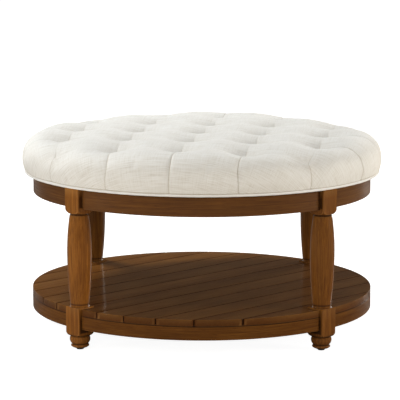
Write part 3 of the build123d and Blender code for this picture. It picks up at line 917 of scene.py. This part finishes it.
def throughPoints(start, middle, end, count):
    # arc through three points, as (radius, height) pairs
    (ax, ay), (bx, by), (cx, cy) = start, middle, end
    d = 2 * (ax * (by - cy) + bx * (cy - ay) + cx * (ay - by))
    ux = ((ax**2 + ay**2) * (by - cy) + (bx**2 + by**2) * (cy - ay) + (cx**2 + cy**2) * (ay - by)) / d
    uy = ((ax**2 + ay**2) * (cx - bx) + (bx**2 + by**2) * (ax - cx) + (cx**2 + cy**2) * (bx - ax)) / d
    first, half, last = [math.atan2(y - uy, x - ux) for x, y in (start, middle, end)]
    radius = math.hypot(ax - ux, ay - uy)
    sweep = (last - first) % fullTurn
    if (half - first) % fullTurn > sweep:
        sweep -= fullTurn
    return [(ux + radius * math.cos(first + sweep * step / count),
             uy + radius * math.sin(first + sweep * step / count)) for step in range(count + 1)]


def legRings():
    # (turned radius, height, how far the square is drawn in or None), from the floor up, in millimetres
    corner = leg["halfSquare"] / mm * math.sqrt(2)
    outShare, upShare = leg["shoulderShares"]
    rings = []

    def turned(points, draw=None):
        rings.extend((radius, level, draw) for radius, level in points)

    def shoulder(arc, base):
        start, (neck, low), steps = arc
        middle = (neck + (corner - neck) * outShare, low + (base - low) * upShare)
        turned(throughPoints(start, middle, (corner, base), steps), 0.0)

    def square(levels):
        turned([(corner + leg["pastCorner"], level) for level in levels], 0.0)

    turned(leg["seat"])
    for arc in leg["footArcs"]:
        turned(throughPoints(*arc))
    base, top = leg["lowerBlock"]
    shoulder(leg["lowerShoulder"], base)
    square(leg["lowerLevels"])
    for drop, draw in leg["lowerTop"]:
        turned([(corner + leg["pastCorner"], top - drop)], draw)
    turned(leg["collarSeat"] + throughPoints(*leg["collar"]))
    low, wide, high, base, middle, top = leg["barrel"]
    for start, end, narrow in ((base, middle, low), (middle, top, high)):
        bend = ((end - start) ** 2 + (wide - narrow) ** 2) / (2 * (wide - narrow))
        for step in range(1, leg["barrelSteps"] + 1):
            level = start + (end - start) * step / leg["barrelSteps"]
            turned([(wide - bend + math.sqrt(bend**2 - (level - middle) ** 2), level)])
    turned(leg["groove"])
    base, top = leg["upperBlock"]
    shoulder(leg["upperShoulder"], base)
    square(leg["upperLevels"])
    for past, draw in leg["upperTop"]:
        turned([(corner + past, top)], draw)
    return rings


def squareReach(angles, half, corner):
    # distance from the axis to a rounded square's outline
    cos = np.abs(np.cos(angles))
    sin = np.abs(np.sin(angles))
    straight = half / np.maximum(cos, sin)
    inset = half - corner
    middle = inset * (cos + sin)
    rounded = middle + np.sqrt(np.maximum(middle**2 - 2 * inset**2 + corner**2, 0))
    inCorner = np.minimum(cos, sin) * straight > inset
    return np.where(inCorner, rounded, straight)


def legAngles():
    # evenly spaced, and closer at the four corners
    angles = [fullTurn * step / leg["round"] for step in range(leg["round"])]
    for corner in (45, 135, 225, 315):
        for turn in leg["arrisTurns"]:
            angles += [math.radians(corner - turn), math.radians(corner + turn)]
    return np.array(sorted(set(round(angle, 6) for angle in angles)))


def buildLegs():
    angles = legAngles()
    rings = legRings()
    verts = []
    for turned, level, draw in rings:
        reach = np.full(len(angles), turned * mm)
        if draw is not None:
            square = squareReach(angles, leg["halfSquare"] - draw * mm, leg["cornerRound"])
            reach = softMin(reach, square, leg["arris"])
        verts.append(aroundAxis(reach, angles, level * mm))
    verts = np.concatenate(verts)
    faces = tubeFaces(len(rings), len(angles), "capped")
    for number, corner in enumerate(cornerNames):
        middle = middleOf("leg_" + corner)
        outward = math.atan2(middle.y, middle.x)
        piece = newPiece("turned_leg_" + corner, verts, faces, legWood)
        piece.matrix_world = Matrix.Translation((middle.x, middle.y, 0)) @ Matrix.Rotation(outward, 4, "Z")
        paint(piece, "grainSpace", verts + np.array(leg["grainShift"]) * (number + 1))
        markEdges(piece)
        x, y, z = verts.T
        shadeMask = painted(piece, "paintedShade")
        # painted shade in the turned grooves and crevices
        for level, reach in leg["shadeLevels"]:
            shadeMask = np.maximum(shadeMask, bell(z / mm - level, reach))
        # painted shade on the block sides beside the rails
        onSide = np.abs(y) > leg["halfSquare"] - leg["sideDepth"]
        for base, top in (leg["lowerBlock"], leg["upperBlock"]):
            inBlock = onSide & (z > base * mm) & (z < top * mm - leg["blockEdge"])
            shadeMask = np.maximum(shadeMask, inBlock * (1 - ramp(x, leg["sideStart"], leg["sideRun"])))
        paint(piece, "paintedShade", shadeMask)
        # tone per leg, painted shade on the darker legs
        paint(piece, "toneShift", np.full(len(verts), leg["tones"][number]))
        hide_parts("leg_" + corner)


buildLegs()
print("legs turned")

# Curved rails

rail = {
    "thickness": 22 * mm,
    "apronEase": 1.4 * mm,
    "shelfEase": 1.0 * mm,
    "easeSteps": 4,
    "edgeBand": 1.0 * mm,
    "endGap": 0.25 * mm,
    "steps": 110,
    "sides": (("front", -90), ("right", 0), ("back", 90), ("left", 180)),
    "grainShift": (0.4, 0.23, 1.7),
}


def sectionPoints(inner, outer, base, top, ease):
    # rounded section, counter-clockwise seen along the rail, as (distance from axis, height)
    points = []
    for reach, level, start in ((outer, base, -90), (outer, top, 0), (inner, top, 90), (inner, base, 180)):
        centreReach = reach - ease if reach == outer else reach + ease
        centreLevel = level + ease if level == base else level - ease
        for step in range(rail["easeSteps"] + 1):
            angle = math.radians(start + 90 * step / rail["easeSteps"])
            points.append((centreReach + ease * math.cos(angle), centreLevel + ease * math.sin(angle)))
    band = ease + rail["edgeBand"]
    points += [(outer, level) for level in (base + band, (base + top) / 2, top - band)]
    centre = ((inner + outer) / 2, (base + top) / 2)
    return sorted(points, key=lambda point: math.atan2(point[1] - centre[1], point[0] - centre[0]))


def buildRails(kind, ease, wood):
    share = np.linspace(-1, 1, rail["steps"] + 1)[:, None]
    for number, (side, middle) in enumerate(rail["sides"]):
        name = f"{kind}_rail_{side}"
        low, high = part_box(name)
        outer = max(abs(low.x), abs(high.x), abs(low.y), abs(high.y))
        reach, level = np.array(sectionPoints(outer - rail["thickness"], outer, low.z, high.z, ease)).T
        turn = share * (math.pi / 4 - np.arcsin((leg["halfSquare"] + rail["endGap"]) / reach))
        verts = aroundAxis(reach, math.radians(middle) + turn, level)
        faces = tubeFaces(len(share), len(reach), "capped", True)
        piece = newPiece(name.replace("rail", "curve"), verts, faces, wood)
        grain = pointsOf(reach - outer, level, outer * turn)
        paint(piece, "grainSpace", grain + np.array(rail["grainShift"]) * number)
        markEdges(piece)
        # painted shade along the rail's top edge, where the boards or the welt meet it
        dark = high.z - ease - rail["edgeBand"] / 2
        paint(piece, "paintedShade", (verts[..., 2] > dark).ravel())
        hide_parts(name)


buildRails("apron", rail["apronEase"], apronWood)
buildRails("shelf", rail["shelfEase"], railWood)
print("rails bent")

# Shelf boards

shelf = {
    "count": 12,
    "turn": math.pi / 4,
    "endWidth": 62.5 * mm,
    "notchGap": 0.5 * mm,
    "grooveHalf": 1.15 * mm,
    "grooveFloor": 2.6 * mm,
    "jointHalf": 0.05 * mm,
    "ease": 1.1 * mm,
    "easeSteps": 2,
    "easeProfile": 0.6,
    "rimSteps": 480,
    "weld": 0.001 * mm,
    # rubbed rim, and painted shade in the joints and along the foot of the rim
    "rimBand": (-6 * mm, 3 * mm),
    "wearGap": 2.5 * mm,
    "footBand": 0.1 * mm,
    "darkHalf": 1.3 * mm,
    "darkTop": 0.2 * mm,
    "grainShift": (0.37, 0.21, 1.3),
    "tones": (0.05, -0.04, 0.02, -0.06, 0.04, -0.02, 0.05, -0.05, 0.03, 0.08, 0.02, 0.06),
}


def shelfOutline(radius, legReach):
    # round outline with a notch round each leg, turned so that the boards run along X
    half = leg["halfSquare"] + shelf["notchGap"]
    edge = math.sqrt(radius**2 - half**2)
    notch = ((edge, -half), (legReach - half, -half), (legReach - half, half), (edge, half))

    def fromLeg(step):
        angle = fullTurn * step / shelf["rimSteps"]
        nearest = round(angle / (math.pi / 2)) * math.pi / 2
        return angle, nearest, abs(radius * math.sin(angle - nearest)) > half

    points = []
    for step in range(shelf["rimSteps"]):
        angle, nearest, clear = fromLeg(step)
        if not clear:
            continue
        points.append((radius * math.cos(angle), radius * math.sin(angle)))
        angle, nearest, clear = fromLeg(step + 1)
        if not clear:
            cos, sin = math.cos(nearest), math.sin(nearest)
            points += [(along * cos - across * sin, along * sin + across * cos) for along, across in notch]
    return points


def clipAcross(points, level, keepAbove):
    # part of a polygon on one side of a line along X
    kept = []
    for index, here in enumerate(points):
        there = points[index - 1]
        hereIn = (here[1] > level) == keepAbove
        thereIn = (there[1] > level) == keepAbove
        if hereIn != thereIn:
            share = (level - there[1]) / (here[1] - there[1])
            kept.append((there[0] + share * (here[0] - there[0]), level))
        if hereIn:
            kept.append(here)
    return kept


def boardMesh(index, outline, width, low, high):
    # a full-width lower part, and a narrower eased part over it that leaves the groove
    left = (index - shelf["count"] / 2) * width
    floor = low.z + shelf["grooveFloor"]
    mesh = bmesh.new()
    for inset, bottom, top, eased in ((shelf["jointHalf"], low.z, floor, False),
                                     (shelf["grooveHalf"], floor, high.z, True)):
        polygon = outline
        if index > 0:
            polygon = clipAcross(polygon, left + inset, True)
        if index < shelf["count"] - 1:
            polygon = clipAcross(polygon, left + width - inset, False)
        face = mesh.faces.new([mesh.verts.new((x, y, bottom)) for x, y in polygon])
        made = bmesh.ops.extrude_face_region(mesh, geom=[face])["geom"]
        upper = [item for item in made if isinstance(item, bmesh.types.BMVert)]
        bmesh.ops.translate(mesh, verts=upper, vec=(0, 0, top - bottom))
        if eased:
            edges = [item for item in made if isinstance(item, bmesh.types.BMEdge)]
            bmesh.ops.bevel(mesh, geom=edges, offset=shelf["ease"], segments=shelf["easeSteps"],
                            profile=shelf["easeProfile"], affect="EDGES", clamp_overlap=True)
    bmesh.ops.remove_doubles(mesh, verts=mesh.verts, dist=shelf["weld"])
    bmesh.ops.recalc_face_normals(mesh, faces=mesh.faces)
    data = bpy.data.meshes.new("board")
    mesh.to_mesh(data)
    mesh.free()
    return data


def buildBoards():
    low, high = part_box("shelf_plank_06")
    radius = max(abs(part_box(f"shelf_rail_{side}")[index].y) for side, index in (("front", 0), ("back", 1)))
    legReach = math.hypot(*middleOf("leg_back_right")[:2])
    width = 2 * (radius - shelf["endWidth"]) / (shelf["count"] - 2)
    outline = shelfOutline(radius, legReach)
    joints = (np.arange(1, shelf["count"]) - shelf["count"] / 2) * width

    def toJoint(across):
        return np.min(np.abs(across[:, None] - joints[None, :]), axis=1)

    for index in range(shelf["count"]):
        data = boardMesh(index, outline, width, low, high)
        piece = placePiece(f"shelf_board_{index + 1:02d}", data, boardWood)
        points = np.array([vert.co for vert in data.vertices])
        middles = np.array([face.center for face in data.polygons])
        rimShare = ramp(np.hypot(points[:, 0], points[:, 1]) - radius, *shelf["rimBand"])
        # painted shade along the foot of the rim and in the joints
        atFoot = (points[:, 2] < low.z + shelf["footBand"]) & (rimShare > 0)
        inJoint = (toJoint(middles[:, 1]) < shelf["darkHalf"]) & (middles[:, 2] < high.z - shelf["darkTop"])
        data.transform(Matrix.Rotation(shelf["turn"], 4, "Z"))
        grain = points[:, [1, 2, 0]] + np.array(shelf["grainShift"]) * index
        paint(piece, "grainSpace", grain)
        paint(piece, "endGrain", [1 - abs(face.normal.z) for face in data.polygons], "FACE")
        markEdges(piece)
        rubbed = rimShare * (toJoint(points[:, 1]) > shelf["wearGap"])
        paint(piece, "edgeWear", painted(piece, "edgeWear") * rubbed)
        paint(piece, "paintedShade", atFoot)
        paint(piece, "jointShade", inJoint, "FACE")
        paint(piece, "toneShift", np.full(len(points), shelf["tones"][index]))
        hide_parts(f"shelf_plank_{index + 1:02d}")


buildBoards()
print("shelf laid")

# Glides

glide = {
    "round": 48,
    "hub": 0.01 * mm,
    "profile": [(0, 0), (6.6, 0), (7.6, 0.1), (8.4, 0.45), (8.8, 1.1), (8.9, 1.9), (8.9, 3.75), (0, 3.8)],
}


def buildGlides():
    reach, level = np.array(glide["profile"]).T[..., None] * mm
    angles = fullTurn * np.arange(glide["round"]) / glide["round"]
    verts = aroundAxis(np.maximum(reach, glide["hub"]), angles, level)
    faces = tubeFaces(len(reach), len(angles))
    for corner in cornerNames:
        middle = middleOf("glide_" + corner)
        piece = newPiece("nail_glide_" + corner, verts, faces, finishes["black_nylon"])
        piece.matrix_world = Matrix.Translation((middle.x, middle.y, 0))
        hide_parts("glide_" + corner)


buildGlides()
print("glides set")

# Camera, lights and floor

camera = {
    "distance": 5.082,
    "height": 1.153,
    "swing": math.radians(0.4755),
    "pitch": math.radians(9.36),
    "heading": math.radians(0.529),
    "roll": math.radians(0.11),
    "lens": 184.3,
    "sensor": 36.0,
    "clipEnd": 200,
}
studio = {
    "backdrop": 1.0,
    "skyFill": 0.34,
    "skyLean": 0.10,
    "skyShine": 0.07,
    "skyShineColour": (1, 0.80, 0.56, 1),
    "floorColour": (0.46, 0.46, 0.46, 1),
    "floorBounce": (0.46, 0.39, 0.31, 1),
    "floorShine": (0.12, 0.11, 0.10, 1),
    "floorGlow": 0.93,
    "floorHalf": 30.0,
    "floorSurface": {"Roughness": 0.6, "Emission Color": (1, 1, 1, 1)},
    "lights": [
        # name, place, aim, width, height, power, colour, whether it shows in reflections
        ("keyBox", (-1.5, 1.4, 3.1), (0, 0, 0.45), 0.8, 0.8, 77, (0.97, 1, 1.02), False),
        ("leftBox", (-3.2, -1.5, 0.4), (0, 0, 0.35), 1.0, 1.0, 36, (0.95, 0.98, 1.0), False),
        ("rightBox", (3.2, -0.9, 0.62), (0, 0, 0.35), 1.2, 1.0, 47, (1, 0.97, 0.91), False),
        ("frontBox", (-0.7, -2.6, 1.0), (0, 0, 0.3), 1.3, 0.7, 19, (1, 0.95, 0.86), False),
        ("backBox", (0.2, 3.2, 1.5), (0, 0, 0.1), 3.0, 1.4, 5, (1, 1, 1), False),
        ("leftRim", (-1.9, 2.7, 0.8), (0, 0, 0.3), 1.0, 1.2, 9, (1, 0.96, 0.90), True),
        ("rightRim", (2.0, 2.6, 0.8), (0, 0, 0.3), 0.8, 1.0, 24, (1, 0.94, 0.85), True),
        ("rightSide", (3.0, 1.1, 0.6), (0, 0, 0.25), 1.0, 1.0, 11, (1, 0.93, 0.82), False),
    ],
}


def buildCamera():
    data = bpy.data.cameras.new("photoCamera")
    data.sensor_width = camera["sensor"]
    data.lens = camera["lens"]
    data.clip_end = camera["clipEnd"]
    shot = addObject("photoCamera", data)
    away = camera["distance"]
    place = (away * math.sin(camera["swing"]), -away * math.cos(camera["swing"]), camera["height"])
    turn = Matrix.Rotation(camera["heading"], 4, "Z") @ Matrix.Rotation(math.pi / 2 - camera["pitch"], 4, "X")
    turn = turn @ Matrix.Rotation(camera["roll"], 4, "Z")
    shot.matrix_world = Matrix.Translation(place) @ turn
    scene.camera = shot


def buildSky():
    world = bpy.data.worlds.new("studio")
    world.use_nodes = True
    sky = world.node_tree
    rays = addNode(sky, "LightPath").outputs
    way = addNode(sky, "TexCoord").outputs["Generated"]
    along = addNode(sky, "SeparateXYZ", {"Vector": way}).outputs["Y"]
    fill = doMath(sky, "ADD", studio["skyFill"], multiply(sky, along, studio["skyLean"]))
    strength = mixValue(sky, rays["Is Glossy Ray"], fill, studio["skyShine"])
    strength = mixValue(sky, rays["Is Camera Ray"], strength, studio["backdrop"])
    tint = mixColour(sky, rays["Is Glossy Ray"], (1, 1, 1, 1), studio["skyShineColour"])
    sky.links.new(tint, sky.nodes["Background"].inputs["Color"])
    sky.links.new(strength, sky.nodes["Background"].inputs["Strength"])
    scene.world = world


def buildFloor():
    half = studio["floorHalf"]
    corners = [(-half, -half, 0), (half, -half, 0), (half, half, 0), (-half, half, 0)]
    mesh = newMesh("floor", corners, [(0, 1, 2, 3)])
    material, tree, shader = newMaterial("paleFloor", studio["floorSurface"])
    rays = addNode(tree, "LightPath").outputs
    seen = rays["Is Camera Ray"]
    hidden = mixColour(tree, rays["Is Glossy Ray"], studio["floorBounce"], studio["floorShine"])
    tree.links.new(mixColour(tree, seen, hidden, studio["floorColour"]), shader.inputs["Base Color"])
    tree.links.new(multiply(tree, seen, studio["floorGlow"]), shader.inputs["Emission Strength"])
    mesh.materials.append(material)
    addObject("paleFloor", mesh)


def buildLights():
    for name, place, aim, width, height, power, colour, shines in studio["lights"]:
        data = bpy.data.lights.new(name, "AREA")
        data.shape = "RECTANGLE"
        data.size = width
        data.size_y = height
        data.energy = power
        data.color = colour
        lamp = addObject(name, data)
        lamp.visible_glossy = shines
        facing = (Vector(aim) - Vector(place)).to_track_quat("-Z", "Y").to_matrix().to_4x4()
        lamp.matrix_world = Matrix.Translation(place) @ facing


buildCamera()
buildSky()
buildFloor()
buildLights()
print("studio lit")
